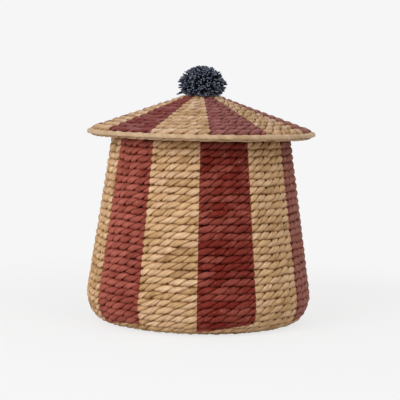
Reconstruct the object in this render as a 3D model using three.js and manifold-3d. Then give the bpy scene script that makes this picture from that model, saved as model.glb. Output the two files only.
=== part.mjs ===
// A lidded storage basket of twined plant fibre over a wire frame: a drum that bulges towards its
// foot and narrows to its mouth, and a loose conical lid that rests on the mouth, with a yarn pompom.
// Millimetres, +Z up. The origin is the centre of the base, on the surface that the basket stands on.

import * as THREE from 'three';
import { mergeVertices } from 'three/addons/utils/BufferGeometryUtils.js';
import Module from 'manifold-3d';

const wasm = await Module();
wasm.setup();

// Basket: outside sizes
const basketHeight = 337;
const mouthRadius = 155;
const bellyRadius = 197.6;
const footRadius = 164.5;
const cornerHeight = 48;

// Lid: outside sizes
const lidRadius = 200;
const lidSlopeDegrees = 19.53;
const lidBandHeight = 12;
const lidBandWidth = 11;
const lidBandShoulder = 6;
const crownRadius = 20;

// Weave: one flattened run of fibre in front of the wires and one behind them
const runThickness = 5;
const courseBevel = 2.6;
const cornerCourses = 5;
const wallCourses = 22;
const lidCourses = 13;
const lidCourseTaper = 0.12;

// Border wrapped over the basket's mouth, and the rounding of both borders
const rimBorderHeight = 16;
const rimBorderOverhang = 1;
const borderRounding = 2.5;

// Wire frames: each rib takes the place of one of the uprights that the courses twist round
const uprights = 54;
const wireDiameter = 3;
const frameRibs = 9;
const baseHubRadius = 24;
const baseHoopInset = 8;
const lidHubRadius = 14;

// Pompom and the cord that ties it down
const pompomRadius = 41;
const pompomLift = 2.5;
const tieDiameter = 3;
const knotRadius = 5;

// Clearance between touching pieces, and how finely round pieces are cut
const fit = 0.3;
const facetsPerRib = 3;
const hubFacetsPerRib = 2;
const wireSides = 6;
const wireRoomSides = 4;
const tieSides = 12;
const pompomSteps = 10;
const knotSteps = 5;

const firstRib = Math.PI / uprights;
const facets = frameRibs * facetsPerRib;
const hubFacets = frameRibs * hubFacetsPerRib;
const wireRadius = wireDiameter / 2;
const wireDepth = runThickness + fit + wireRadius;
const innerRunTop = runThickness + fit;
const weaveDepth = wireDepth + wireRadius + fit + runThickness;

const fibre = new THREE.MeshStandardMaterial({ color: 0xb58f69, roughness: 0.9, metalness: 0 });
const fibreInside = new THREE.MeshStandardMaterial({ color: 0xa98560, roughness: 0.9, metalness: 0 });
const wrapping = new THREE.MeshStandardMaterial({ color: 0xb58a6a, roughness: 0.85, metalness: 0 });
const wire = new THREE.MeshStandardMaterial({ color: 0x2b2826, roughness: 0.5, metalness: 0.4 });
const yarn = new THREE.MeshStandardMaterial({ color: 0x353942, roughness: 1, metalness: 0 });

// A wire's own section, and the wider one that is cut round it in the weave and the borders
const wireGauge = { radius: wireRadius, sides: wireSides, hoopTurn: 0 };
const wireRoom = {
  radius: (wireRadius + fit) / Math.cos(Math.PI / wireRoomSides),
  sides: wireRoomSides,
  hoopTurn: Math.PI / wireRoomSides,
};

// Turned solids. A section is a list of points (radius, height), anticlockwise as seen with the
// axis on the left, so that its faces point out. An azimuth starts at -Y and runs towards +X, and
// the facets have a corner at each rib.
function turned(section, sides = facets) {
  return new THREE.LatheGeometry(section, sides).rotateX(Math.PI / 2).rotateZ(firstRib);
}

function turnedRing(section, sides = facets) {
  return turned([...section, section[0].clone()], sides);
}

function point(radius, height) {
  return new THREE.Vector2(radius, height);
}

function hoop(centre, gauge, around = facets) {
  const { radius, sides, hoopTurn } = gauge;
  const section = new THREE.EllipseCurve(centre.x, centre.y, radius, radius, hoopTurn, hoopTurn + 2 * Math.PI);
  return turnedRing(section.getPoints(sides).slice(0, sides), around);
}

// A route of straight runs in the upright plane through the axis, with its corners where the
// steps of an extrusion fall.
class UprightRoute extends THREE.Curve {
  constructor(corners, azimuth) {
    super();
    this.corners = corners;
    this.azimuth = azimuth;
  }

  getPoint(t, target = new THREE.Vector3()) {
    const place = t * (this.corners.length - 1);
    const run = Math.min(Math.floor(place), this.corners.length - 2);
    const flat = this.corners[run].clone().lerp(this.corners[run + 1], place - run);
    return target.set(flat.x * Math.sin(this.azimuth), -flat.x * Math.cos(this.azimuth), flat.y);
  }

  getPointAt(u, target) {
    return this.getPoint(u, target);
  }

  getTangentAt(u, target) {
    return this.getTangent(u, target);
  }
}

function wireAlong(corners, azimuth, gauge) {
  const round = new THREE.EllipseCurve(0, 0, gauge.radius, gauge.radius);
  const section = new THREE.Shape(round.getPoints(gauge.sides));
  const route = new UprightRoute(corners, azimuth);
  const steps = corners.length - 1;
  return new THREE.ExtrudeGeometry(section, { steps, extrudePath: route, bevelEnabled: false });
}

// Joins and cuts
function toSolid(geometry) {
  const bare = geometry.clone();
  bare.deleteAttribute('normal');
  bare.deleteAttribute('uv');
  const merged = mergeVertices(bare, 1e-3);
  const corners = merged.index.array;
  const kept = [];
  for (let i = 0; i < corners.length; i += 3) {
    const [a, b, c] = corners.slice(i, i + 3);
    if (a !== b && b !== c && c !== a) {
      kept.push(a, b, c);
    }
  }
  const vertProperties = new Float32Array(merged.attributes.position.array);
  return new wasm.Manifold(new wasm.Mesh({ numProp: 3, vertProperties, triVerts: new Uint32Array(kept) }));
}

function toGeometry(solid) {
  const mesh = solid.getMesh();
  const geometry = new THREE.BufferGeometry();
  geometry.setAttribute('position', new THREE.BufferAttribute(new Float32Array(mesh.vertProperties), 3));
  geometry.setIndex(Array.from(mesh.triVerts));
  geometry.computeVertexNormals();
  return geometry;
}

function joined(geometries) {
  return geometries.map(toSolid).reduce((whole, solid) => whole.add(solid));
}

function carved(geometry, hollow) {
  return toGeometry(toSolid(geometry).subtract(hollow));
}

// A woven face is a line of edges, one between each two courses. Each edge has a point on the
// outside and the direction that points out of the weave there.
function edgesAlong(points, firstOut) {
  const outOf = (from, to) => point(to.y - from.y, from.x - to.x).normalize();
  return points.map((here, i) => {
    const before = i > 0 ? outOf(points[i - 1], here) : firstOut;
    const after = i < points.length - 1 ? outOf(here, points[i + 1]) : before;
    const out = i > 0 ? before.clone().add(after).normalize() : firstOut.clone();
    return { here, out };
  });
}

function inwards(edge, depth) {
  return edge.here.clone().addScaledVector(edge.out, -depth);
}

// The front run of one course, between two edges, rounded off towards its neighbours.
function courseSection(first, last) {
  const along = last.here.clone().sub(first.here).normalize();
  const gap = along.clone().multiplyScalar(fit / 2);
  const bevel = along.clone().multiplyScalar(fit / 2 + courseBevel);
  return [
    inwards(first, runThickness).add(gap),
    first.here.clone().add(bevel),
    last.here.clone().sub(bevel),
    inwards(last, runThickness).sub(gap),
  ];
}

const basket = new THREE.Group();
const lid = new THREE.Group();
lid.position.z = basketHeight;
basket.add(lid);

function place(group, name, geometry, material) {
  const mesh = new THREE.Mesh(geometry, material);
  mesh.name = name;
  group.add(mesh);
}

function placeCourses(group, prefix, edges) {
  for (let i = 1; i < edges.length; i += 1) {
    const name = `${prefix}_${String(i).padStart(2, '0')}`;
    place(group, name, turnedRing(courseSection(edges[i - 1], edges[i])), fibre);
  }
}

function ribAzimuths() {
  return Array.from({ length: frameRibs }, (_, i) => firstRib + (i * 2 * Math.PI) / frameRibs);
}

// Basket: the outside face from the edge of the flat base, round the corner and up to the border
const wallTop = basketHeight - rimBorderHeight;

function wallPoint(height) {
  const climbed = (height - cornerHeight) / (basketHeight - cornerHeight);
  return point(THREE.MathUtils.lerp(bellyRadius, mouthRadius, climbed), height);
}

const cornerWidth = bellyRadius - footRadius;
const corner = new THREE.EllipseCurve(footRadius, cornerHeight, cornerWidth, cornerHeight, -Math.PI / 2, 0);
const facePoints = corner.getSpacedPoints(cornerCourses);
for (let i = 1; i <= wallCourses; i += 1) {
  facePoints.push(wallPoint(THREE.MathUtils.lerp(cornerHeight, wallTop, i / wallCourses)));
}
const faceEdges = edgesAlong(facePoints, point(0, -1));
const wallEdge = faceEdges.at(-1);

// Basket: welded wire frame, from a hub ring in the base to the hoop inside the rim border
const rimHoopFace = wallPoint(basketHeight - rimBorderHeight / 2);
const rimHoopCentre = inwards({ here: rimHoopFace, out: wallEdge.out }, wireDepth);
const ribCorners = [
  point(baseHubRadius, wireDepth),
  ...faceEdges.slice(0, cornerCourses + 1).map((edge) => inwards(edge, wireDepth)),
  rimHoopCentre,
];

function basketWires(gauge) {
  return joined([
    ...ribAzimuths().map((azimuth) => wireAlong(ribCorners, azimuth, gauge)),
    hoop(rimHoopCentre, gauge),
    hoop(point(footRadius - baseHoopInset, wireDepth), gauge),
    hoop(point(baseHubRadius, wireDepth), gauge, hubFacets),
  ]);
}

const basketWireRoom = basketWires(wireRoom);
place(basket, 'basket_frame', toGeometry(basketWires(wireGauge)), wire);

// Basket: base, wall and border
function baseDisc(low, high) {
  const edge = footRadius - fit / 2;
  return turned([point(0, low), point(edge, low), point(edge, high), point(0, high)]);
}

function wallInnerSection() {
  const bends = [...faceEdges.slice(0, cornerCourses + 1), wallEdge];
  const front = bends.map((edge) => inwards(edge, innerRunTop));
  const back = bends.map((edge) => inwards(edge, weaveDepth));
  return [...front, ...back.reverse()];
}

function rimBorderSection() {
  const low = wallTop + fit;
  const foot = wallPoint(low).x;
  const proud = rimBorderOverhang;
  return [
    point(foot - weaveDepth - proud, low),
    point(foot + proud, low),
    point(mouthRadius + proud, basketHeight - borderRounding),
    point(mouthRadius + proud - borderRounding, basketHeight),
    point(mouthRadius - weaveDepth - proud + borderRounding, basketHeight),
    point(mouthRadius - weaveDepth - proud, basketHeight - borderRounding),
  ];
}

place(basket, 'base_weave', baseDisc(0, runThickness), fibre);
place(basket, 'base_inner_weave', carved(baseDisc(innerRunTop, weaveDepth), basketWireRoom), fibreInside);
place(basket, 'wall_inner_weave', carved(turnedRing(wallInnerSection()), basketWireRoom), fibreInside);
placeCourses(basket, 'wall_course', faceEdges);
place(basket, 'rim_border', carved(turnedRing(rimBorderSection()), basketWireRoom), wrapping);

// Lid: heights here are measured from the top of the basket's border, which carries its underside
const lidSlope = Math.tan(THREE.MathUtils.degToRad(lidSlopeDegrees));
const uprightPerDepth = Math.hypot(1, lidSlope);
const seatRadius = mouthRadius + rimBorderOverhang - borderRounding;
const bandInnerRadius = lidRadius - lidBandWidth;
const tieHoleRadius = tieDiameter / 2 + fit;

// A point in the lid's cone, at a depth below its outside face
function conePoint(radius, depth) {
  const underside = fit * uprightPerDepth + (seatRadius - radius) * lidSlope;
  return point(radius, underside + (weaveDepth - depth) * uprightPerDepth);
}

function lidBandSection() {
  const top = conePoint(lidRadius, 0).y;
  const low = top - lidBandHeight;
  return [
    point(bandInnerRadius, low),
    point(lidRadius - borderRounding, low),
    point(lidRadius, low + borderRounding),
    point(lidRadius, top - lidBandShoulder),
    conePoint(lidRadius - lidBandShoulder, 0),
    conePoint(bandInnerRadius, 0),
  ];
}

const lidHoopCentre = conePoint(lidRadius - lidBandWidth / 2, wireDepth);
const lidHubCentre = conePoint(lidHubRadius, wireDepth);

function lidWires(gauge) {
  return joined([
    ...ribAzimuths().map((azimuth) => wireAlong([lidHubCentre, lidHoopCentre], azimuth, gauge)),
    hoop(lidHoopCentre, gauge),
    hoop(lidHubCentre, gauge, hubFacets),
  ]);
}

const lidWireRoom = lidWires(wireRoom);

// The courses get narrower towards the crown: the first is wider than the mean by the taper's share
const lidPoints = [];
for (let i = 0; i <= lidCourses; i += 1) {
  const share = i / lidCourses;
  const inward = share * (1 + lidCourseTaper * (1 - share));
  lidPoints.push(conePoint(THREE.MathUtils.lerp(bandInnerRadius - fit, crownRadius, inward), 0));
}
const lidEdges = edgesAlong(lidPoints, point(lidSlope, 1).normalize());

function lidInnerSection() {
  const outerRadius = bandInnerRadius - fit;
  return [
    conePoint(tieHoleRadius, weaveDepth),
    conePoint(outerRadius, weaveDepth),
    conePoint(outerRadius, innerRunTop),
    conePoint(tieHoleRadius, innerRunTop),
  ];
}

// The start of the weave, inside the last course and round the hole for the pompom's cord
function crownSection() {
  const lastEdge = lidEdges.at(-1);
  const gap = point(fit, 0);
  return [
    conePoint(tieHoleRadius, runThickness),
    inwards(lastEdge, runThickness).sub(gap),
    lastEdge.here.clone().sub(gap),
    conePoint(tieHoleRadius, 0),
  ];
}

place(lid, 'lid_frame', toGeometry(lidWires(wireGauge)), wire);
place(lid, 'lid_inner_weave', carved(turnedRing(lidInnerSection()), lidWireRoom), fibreInside);
place(lid, 'lid_rim_border', carved(turnedRing(lidBandSection()), lidWireRoom), wrapping);
placeCourses(lid, 'lid_course', lidEdges);
place(lid, 'lid_crown', turnedRing(crownSection()), fibre);

// Pompom: a ball pressed onto the top of the cone, with a blind hole for its cord
const pompomCentre = conePoint(0, 0).y + pompomLift;

function pompomSection() {
  const coneTop = conePoint(0, -fit).y - pompomCentre;
  const slopeFactor = 1 + lidSlope ** 2;
  const reach = Math.sqrt(slopeFactor * pompomRadius ** 2 - coneTop ** 2);
  const skirtRadius = (coneTop * lidSlope + reach) / slopeFactor;
  const skirtAngle = Math.atan2(coneTop - skirtRadius * lidSlope, skirtRadius);
  const ball = new THREE.EllipseCurve(0, pompomCentre, pompomRadius, pompomRadius, skirtAngle, Math.PI / 2);
  return [
    point(0, pompomCentre + fit),
    point(tieHoleRadius, pompomCentre + fit),
    conePoint(tieHoleRadius, -fit),
    ...ball.getPoints(pompomSteps).slice(0, -1),
    point(0, pompomCentre + pompomRadius),
  ];
}

function tieSection() {
  const tieRadius = tieDiameter / 2;
  const knotCentre = conePoint(0, weaveDepth).y - (knotRadius + fit) * uprightPerDepth;
  const neckAngle = Math.acos(tieRadius / knotRadius);
  const knot = new THREE.EllipseCurve(0, knotCentre, knotRadius, knotRadius, -Math.PI / 2, neckAngle);
  return [
    point(0, knotCentre - knotRadius),
    ...knot.getPoints(knotSteps).slice(1),
    point(tieRadius, pompomCentre),
    point(0, pompomCentre),
  ];
}

place(lid, 'pompom', turned(pompomSection()), yarn);
place(lid, 'pompom_tie', turned(tieSection(), tieSides), yarn);

export default basket;
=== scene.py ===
"""Looks of the lidded basket: twined courses, wrapped borders, wire frames and a yarn pompom.

Metres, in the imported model's frame. An azimuth starts at -Y, where the camera stands, and runs
towards +X. A lean is the angle of a face's outward direction above the horizontal.
"""

import logging
import math
from collections.abc import Callable, Mapping, Sequence
from dataclasses import asdict, dataclass
from enum import Enum
from typing import ClassVar

import bpy
from mathutils import Matrix, Vector


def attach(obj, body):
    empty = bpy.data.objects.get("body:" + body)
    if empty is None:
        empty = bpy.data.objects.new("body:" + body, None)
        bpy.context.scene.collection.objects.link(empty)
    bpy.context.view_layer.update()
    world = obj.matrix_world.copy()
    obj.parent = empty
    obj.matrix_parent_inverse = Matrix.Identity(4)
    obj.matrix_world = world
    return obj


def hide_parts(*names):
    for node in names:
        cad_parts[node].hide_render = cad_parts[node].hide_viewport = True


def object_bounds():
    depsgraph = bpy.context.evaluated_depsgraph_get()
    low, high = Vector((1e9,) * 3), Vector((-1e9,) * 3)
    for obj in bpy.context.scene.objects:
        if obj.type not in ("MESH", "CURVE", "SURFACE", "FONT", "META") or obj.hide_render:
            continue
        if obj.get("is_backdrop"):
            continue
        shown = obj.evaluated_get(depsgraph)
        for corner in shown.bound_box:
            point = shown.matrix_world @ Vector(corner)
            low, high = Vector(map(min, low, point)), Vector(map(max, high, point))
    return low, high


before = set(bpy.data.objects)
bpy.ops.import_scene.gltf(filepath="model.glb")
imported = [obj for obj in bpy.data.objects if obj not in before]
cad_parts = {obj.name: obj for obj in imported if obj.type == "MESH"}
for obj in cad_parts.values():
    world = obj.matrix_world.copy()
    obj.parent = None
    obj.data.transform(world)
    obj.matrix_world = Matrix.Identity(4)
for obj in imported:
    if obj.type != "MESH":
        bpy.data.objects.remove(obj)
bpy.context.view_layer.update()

LOG = logging.getLogger("lidded basket")
TAU = 2 * math.pi


class Body(Enum):
    """The two bodies that pieces ride on."""

    BASKET = "basket"
    LID = "lid"


class Slot(Enum):
    """The record's material slots, one for each kind of piece made here."""

    FIBRE = "fibre"
    FIBRE_INSIDE = "fibre_inside"
    WRAPPING = "wrapping"
    YARN = "yarn"
    TIE_CORD = "tie_cord"


# Sums and node trees


def summed(operation: str, *, behind: bool = False) -> Callable[..., "Value"]:
    """Makes a method that writes a sum of a value and up to one more number.

    Args:
        operation: the sum's name.
        behind: whether the value comes after the other number.

    Returns:
        The method.
    """

    def method(value: "Value", *other: "Feed") -> "Value":
        """Writes the sum."""
        return value.writer.math(operation, *((*other, value) if behind else (value, *other)))

    return method


class Value:
    """An output of a node that can be written into sums.

    Args:
        writer: the tree writer that owns the node.
        socket: the node's output.
    """

    def __init__(self, writer: "TreeWriter", socket: bpy.types.NodeSocket) -> None:
        """Keeps the output and the writer that adds nodes after it."""
        self.writer = writer
        self.socket = socket

    __add__, __radd__ = summed("ADD"), summed("ADD", behind=True)
    __sub__, __rsub__ = summed("SUBTRACT"), summed("SUBTRACT", behind=True)
    __mul__, __rmul__ = summed("MULTIPLY"), summed("MULTIPLY", behind=True)
    __truediv__, __rtruediv__ = summed("DIVIDE"), summed("DIVIDE", behind=True)
    __pow__, wrapped = summed("POWER"), summed("FLOORED_MODULO")
    sin, cos, floor = summed("SINE"), summed("COSINE"), summed("FLOOR")
    size, sign = summed("ABSOLUTE"), summed("SIGN")

    def __neg__(self) -> "Value":
        """Opposite."""
        return self * -1.0

    def boxed(self, power: "Feed") -> "Value":
        """Its size to a power, with its sign: under 1 this flattens a circle into a rounded box."""
        return self.sign() * self.size() ** power

    def clamped(self) -> "Value":
        """Held between 0 and 1."""
        return self.writer.out("ShaderNodeClamp", {0: self})

    def eased(self, low: "Feed", high: "Feed") -> "Value":
        """A smooth step, from 0 where it starts at the low end to 1 at the high end."""
        feeds = {0: self, 1: low, 2: high}
        return self.writer.out("ShaderNodeMapRange", feeds, interpolation_type="SMOOTHSTEP")


Feed = Value | float | int | bool | tuple[float, ...] | str | bpy.types.ID
Feeds = Mapping[int | str, Feed]


class TreeWriter:
    """Writes a node tree, for shapes or for a finish, from sums and calls.

    Args:
        tree: the empty tree to write.
    """

    def __init__(self, tree: bpy.types.NodeTree) -> None:
        """Keeps the tree."""
        self.tree = tree

    def add(self, kind: str, feeds: Feeds | None = None, **settings: object) -> bpy.types.Node:
        """Adds a node.

        Args:
            kind: the node's type name.
            feeds: what goes into its inputs, by index or name.
            **settings: the node's own settings.

        Returns:
            The node.
        """
        node = self.tree.nodes.new(kind)
        for name, setting in settings.items():
            setattr(node, name, setting)
        for key, feed in (feeds or {}).items():
            if isinstance(feed, Value):
                self.tree.links.new(feed.socket, node.inputs[key])
            else:
                node.inputs[key].default_value = feed
        return node

    def out(self, kind: str, feeds: Feeds | None = None, **settings: object) -> Value:
        """Adds a node and hands on its first output."""
        return Value(self, self.add(kind, feeds, **settings).outputs[0])

    def math(self, operation: str, first: Feed, second: Feed | None = None) -> Value:
        """Adds a named sum of one or two numbers."""
        feeds = {0: first} if second is None else {0: first, 1: second}
        return self.out("ShaderNodeMath", feeds, operation=operation)

    def vector(self, x: Feed, y: Feed, z: Feed) -> Value:
        """Three numbers as one vector."""
        return self.out("ShaderNodeCombineXYZ", {0: x, 1: y, 2: z})

    def parts(self, vector: Value) -> tuple[Value, Value, Value]:
        """A vector as its three numbers."""
        node = self.add("ShaderNodeSeparateXYZ", {0: vector})
        return tuple(Value(self, socket) for socket in node.outputs)

    def noise(self, vector: Value, seed: Feed, scale: float = 1.0, detail: float = 0.0) -> Value:
        """Smooth noise, centred on 0 and mostly between -0.5 and 0.5. Each seed has its own."""
        feeds = {"Vector": vector, "W": seed, "Scale": scale, "Detail": detail}
        return self.out("ShaderNodeTexNoise", feeds, noise_dimensions="4D") * 2.0 - 1.0

    def chance(self, vector: Value, seed: Feed) -> Value:
        """An even random number, 0 to 1, for each vector of whole numbers."""
        feeds = {"Vector": vector, "W": seed}
        return self.out("ShaderNodeTexWhiteNoise", feeds, noise_dimensions="4D")


class ShapeTree(TreeWriter):
    """A Geometry Nodes tree with named inputs, which ends in one mesh.

    Args:
        name: the tree's name.
        inputs: for each kind of socket, the names of its inputs. It also has a material.
    """

    def __init__(self, name: str, inputs: Mapping[str, str]) -> None:
        """Makes the tree and its inputs."""
        super().__init__(bpy.data.node_groups.new(name, "GeometryNodeTree"))
        sockets = self.tree.interface
        for way in ("INPUT", "OUTPUT"):
            sockets.new_socket(name="Geometry", in_out=way, socket_type="NodeSocketGeometry")
        for kind, names in {**inputs, "Material": "Material"}.items():
            for socket in names.split():
                sockets.new_socket(name=socket, in_out="INPUT", socket_type=f"NodeSocket{kind}")
        self.entry = self.tree.nodes.new("NodeGroupInput")

    def given(self, name: str) -> Value:
        """The named input."""
        return Value(self, self.entry.outputs[name])

    def store(
        self, shape: Value, name: str, value: Feed, kind: str = "FLOAT", domain: str = "POINT"
    ) -> Value:
        """Keeps a field of some data type as a named attribute of the shape's points or corners."""
        feeds = {"Geometry": shape, "Name": name, "Value": value}
        return self.out("GeometryNodeStoreNamedAttribute", feeds, data_type=kind, domain=domain)

    def mapped(self, shape: Value, u: Value, v: Value) -> Value:
        """Keeps two fields as the shape's UV map."""
        return self.store(shape, "UVMap", self.vector(u, v, 0.0), "FLOAT2", "CORNER")

    def moved(self, shape: Value, position: Value) -> Value:
        """Puts each point at a new position."""
        return self.out("GeometryNodeSetPosition", {"Geometry": shape, "Position": position})

    def read(self, name: str) -> Value:
        """A named attribute."""
        return self.out("GeometryNodeInputNamedAttribute", {"Name": name}, data_type="FLOAT")

    def walked(self) -> Value:
        """The length walked along a curve."""
        return Value(self, self.add("GeometryNodeSplineParameter").outputs["Length"])

    def merged(self, shape: Value) -> Value:
        """Closes the seams of a shape whose edges meet."""
        return self.out("GeometryNodeMergeByDistance", {"Geometry": shape, "Distance": 1e-5})

    def tube(self, line: Value, gauge: Feed, sides: int) -> Value:
        """A closed tube along a curve, with its UV map.

        Args:
            line: the curve.
            gauge: the tube's radius.
            sides: points round it.

        Returns:
            The tube's mesh.
        """
        line = self.store(line, "along", self.walked())
        ring = self.out("GeometryNodeCurvePrimitiveCircle", {"Resolution": sides, "Radius": 1.0})
        ring = self.store(ring, "round", self.out("GeometryNodeInputIndex") / sides)
        feeds = {"Curve": line, "Profile Curve": ring, "Scale": gauge, "Fill Caps": True}
        tube = self.out("GeometryNodeCurveToMesh", feeds)
        return self.mapped(tube, self.read("along"), self.read("round"))

    def joined(self, shapes: Sequence[Value]) -> Value:
        """Joins several shapes into one.

        Args:
            shapes: the shapes.

        Returns:
            The joined shape.
        """
        node = self.tree.nodes.new("GeometryNodeJoinGeometry")
        for shape in shapes:
            self.tree.links.new(shape.socket, node.inputs[0])
        return Value(self, node.outputs[0])

    def finish(self, shape: Value) -> bpy.types.NodeTree:
        """Ends the tree: one realized mesh, smooth, in the given material.

        Args:
            shape: the geometry.

        Returns:
            The tree.
        """
        real = self.out("GeometryNodeRealizeInstances", {0: shape})
        smooth = self.out("GeometryNodeSetShadeSmooth", {"Geometry": real, "Shade Smooth": True})
        feeds = {"Geometry": smooth, "Material": self.given("Material")}
        dressed = self.out("GeometryNodeSetMaterial", feeds)
        end = self.tree.nodes.new("NodeGroupOutput")
        self.tree.links.new(dressed.socket, end.inputs[0])
        return self.tree


# Pieces


def linked(name: str, data: bpy.types.ID) -> bpy.types.Object:
    """Makes an object and puts it in the scene.

    Args:
        name: its name.
        data: its mesh, lamp or camera.

    Returns:
        The object, at the origin.
    """
    made = bpy.data.objects.new(name, data)
    bpy.context.scene.collection.objects.link(made)
    return made


def mesh_of(name: str, points: Sequence[Vector] = ()) -> bpy.types.Object:
    """Makes an object of a line of points, or an empty one.

    Args:
        name: the object's name.
        points: the line's points.

    Returns:
        The object, at the origin.
    """
    mesh = bpy.data.meshes.new(name)
    mesh.from_pydata(list(points), [(i, i + 1) for i in range(len(points) - 1)], [])
    return linked(name, mesh)


def grown(
    piece: bpy.types.Object, tree: bpy.types.NodeTree, inputs: Mapping[str, object]
) -> bpy.types.Object:
    """Runs a shape tree on an object and keeps the result as its plain mesh.

    Args:
        piece: the object, with whatever line the tree starts from.
        tree: the shape tree.
        inputs: a value for each of the tree's named inputs.

    Returns:
        The same object, with no modifier left.
    """
    modifier = piece.modifiers.new("Shape", "NODES")
    modifier.node_group = tree
    for socket in tree.interface.items_tree:
        if socket.item_type == "SOCKET" and socket.in_out == "INPUT" and socket.name in inputs:
            modifier[socket.identifier] = inputs[socket.name]
    graph = bpy.context.evaluated_depsgraph_get()
    made = bpy.data.meshes.new_from_object(
        piece.evaluated_get(graph), preserve_all_data_layers=True, depsgraph=graph
    )
    piece.modifiers.clear()
    old = piece.data
    piece.data = made
    made.name = piece.name
    bpy.data.meshes.remove(old)
    return piece


def one_piece(name: str, made: Sequence[bpy.types.Object]) -> bpy.types.Object:
    """Joins objects of one material into one.

    Args:
        name: the joined object's name.
        made: the objects.

    Returns:
        The first of them, with everything in its mesh.
    """
    if len(made) > 1:
        every = {"active_object": made[0], "selected_editable_objects": list(made)}
        with bpy.context.temp_override(**every):
            bpy.ops.object.join()
    made[0].name = made[0].data.name = name
    return made[0]


def placed(piece: bpy.types.Object, body: Body, slot: Slot, *nodes: str) -> None:
    """Gives a finished piece its body and hides the CAD nodes that it stands for.

    Args:
        piece: the finished piece.
        body: the body that it rides on.
        slot: the material slot meant for it; not used.
        *nodes: the CAD nodes that it replaces.
    """
    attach(piece, body.value)
    if nodes:
        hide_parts(*nodes)
    faces = len(piece.data.polygons)
    LOG.info("%s: %d faces on %s, for %s", piece.name, faces, body.value, nodes)


# Finishes


def linear(red: int, green: int, blue: int) -> tuple[float, float, float, float]:
    """A colour as a screen shows it, 0 to 255, as the linear light that Blender reckons with."""
    parts = [part / 255 for part in (red, green, blue)]
    return (*(p / 12.92 if p <= 0.04045 else ((p + 0.055) / 1.055) ** 2.4 for p in parts), 1.0)


class FinishTree(TreeWriter):
    """The node tree of a material, which ends in one Principled shader.

    Args:
        name: the material's name.
    """

    def __init__(self, name: str) -> None:
        """Makes the material."""
        self.material = bpy.data.materials.new(name)
        self.material.use_nodes = True
        super().__init__(self.material.node_tree)
        self.tree.nodes.clear()

    def place(self) -> Value:
        """The point's place in the object."""
        return Value(self, self.add("ShaderNodeTexCoord").outputs["Object"])

    def along(self) -> tuple[Value, Value]:
        """The piece's UV map as two numbers."""
        u, v, _ = self.parts(self.out("ShaderNodeUVMap", uv_map="UVMap"))
        return u, v

    def kept(self, name: str) -> Value:
        """An attribute that the shape tree kept."""
        node = self.add("ShaderNodeAttribute", attribute_name=name, attribute_type="GEOMETRY")
        return Value(self, node.outputs["Fac"])

    def ramp(self, value: Value, stops: Mapping[float, tuple[int, int, int]]) -> Value:
        """Colours along a number.

        Args:
            value: the number, from 0 to 1.
            stops: a colour for each of some places along it.

        Returns:
            The colour.
        """
        node = self.add("ShaderNodeValToRGB", {0: value.clamped()})
        elements = node.color_ramp.elements
        while len(elements) < len(stops):
            elements.new(0.5)
        for element, (place, colour) in zip(elements, stops.items()):
            element.position = place
            element.color = linear(*colour)
        return Value(self, node.outputs[0])

    def blended(self, share: Feed, first: Feed, second: Feed, how: str = "MIX") -> Value:
        """Two colours blended in some way, with a share of the second from 0 to 1."""
        feeds = {0: share, 6: first, 7: second}
        node = self.add("ShaderNodeMix", feeds, data_type="RGBA", blend_type=how)
        return Value(self, node.outputs[2])

    def grey(self, value: Value) -> Value:
        """A number as a grey colour."""
        return self.out("ShaderNodeCombineColor", {0: value, 1: value, 2: value})

    def shaded(self, colour: Value, light: Value) -> Value:
        """A colour made lighter or darker: 1 leaves it as it is."""
        return self.blended(1.0, colour, self.grey(light), "MULTIPLY")

    def finish(self, relief: Value, depth: float, feeds: Feeds) -> bpy.types.Material:
        """Ends the tree.

        Args:
            relief: the surface's fine height, from 0 to 1.
            depth: how deep that height is.
            feeds: what goes into the shader.

        Returns:
            The material.
        """
        shader = self.add("ShaderNodeBsdfPrincipled", feeds)
        height = {"Strength": 1.0, "Distance": depth, "Height": relief}
        self.tree.links.new(self.out("ShaderNodeBump", height).socket, shader.inputs["Normal"])
        return self.ended(Value(self, shader.outputs[0]))

    def ended(self, surface: Value) -> bpy.types.Material:
        """Ends the tree in a ready surface."""
        self.add("ShaderNodeOutputMaterial", {"Surface": surface})
        return self.material


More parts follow.
